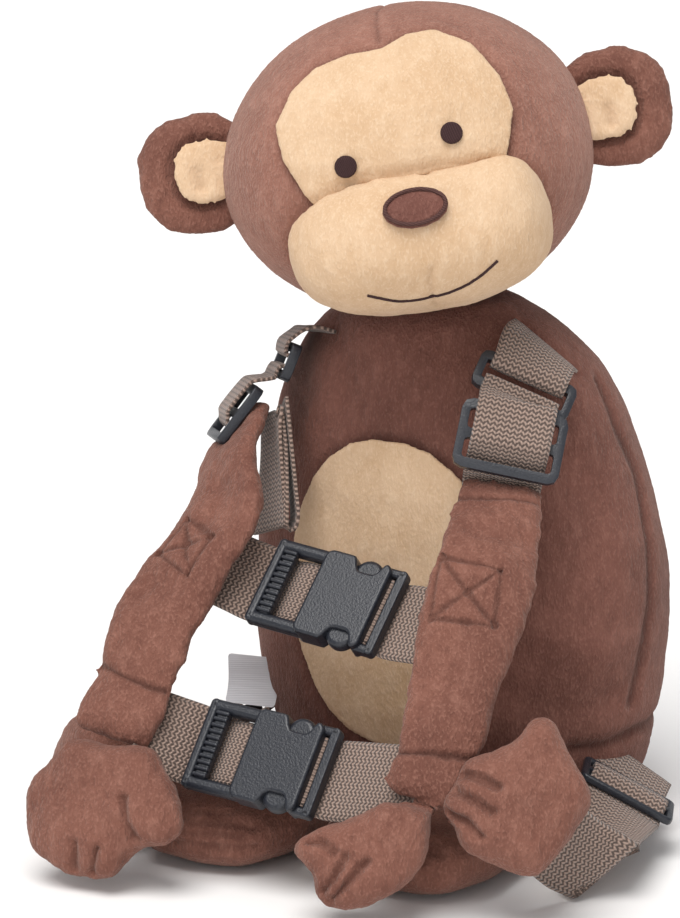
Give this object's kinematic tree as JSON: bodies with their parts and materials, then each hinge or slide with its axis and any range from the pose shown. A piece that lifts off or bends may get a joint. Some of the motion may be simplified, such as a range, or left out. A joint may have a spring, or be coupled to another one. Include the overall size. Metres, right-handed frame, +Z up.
{
  "type": "toddler harness backpack",
  "caption": "Sitting plush monkey worn as a small child's backpack: padded arms are the shoulder straps, closed by a chest and a waist buckle, with a rear belt held in the feet.",
  "frame": {"origin": "centre of the body's flat base, on the floor it sits on", "axes": "+Z up along the body, -Y the way the belly faces, +X to the viewer's right when looking at the belly"},
  "size_m": [0.194, 0.1962, 0.2545],
  "materials": {
    "plush": "short dense chocolate-brown plush pile",
    "cream": "short cream-tan plush pile",
    "webbing": "taupe basket-woven webbing",
    "plastic": "moulded dark slate plastic, satin",
    "thread": "dark brown satin-stitch embroidery",
    "zip": "dark brown zip tape and coil",
    "label": "smooth white ribbon, blank"
  },
  "bodies": {
    "root": {"body": "plush", "zip_tape": "zip", "zip_pull": "zip", "belly_patch": "cream", "head": "plush", "face_patch": "cream", "muzzle": "cream", "eye_left": "thread", "eye_right": "thread", "nose": "thread", "ear_left": "plush", "ear_right": "plush", "ear_lining_left": "cream", "ear_lining_right": "cream", "leg_left": "plush", "leg_right": "plush", "arm_left": "plush", "arm_right": "plush", "cuff_left": "plush", "cuff_right": "plush", "hand_left": "plush", "hand_right": "plush", "foot_left": "plush", "foot_right": "plush", "shoulder_webbing_left": "webbing", "shoulder_webbing_right": "webbing", "ring_left": "plastic", "ring_right": "plastic", "slider_webbing_left": "webbing", "slider_webbing_right": "webbing", "slider_left": "plastic", "slider_right": "plastic", "spare_webbing": "webbing", "chest_webbing_left": "webbing", "chest_clip": "plastic", "chest_socket": "plastic", "chest_webbing_right": "webbing", "belt_webbing_left": "webbing", "belt_clip": "plastic", "belt_socket": "plastic", "belt_webbing_right": "webbing", "rear_webbing_left": "webbing", "rear_webbing_right": "webbing", "rear_slider_left": "plastic", "rear_slider_right": "plastic", "side_label": "label"}
  },
  "joints": []
}
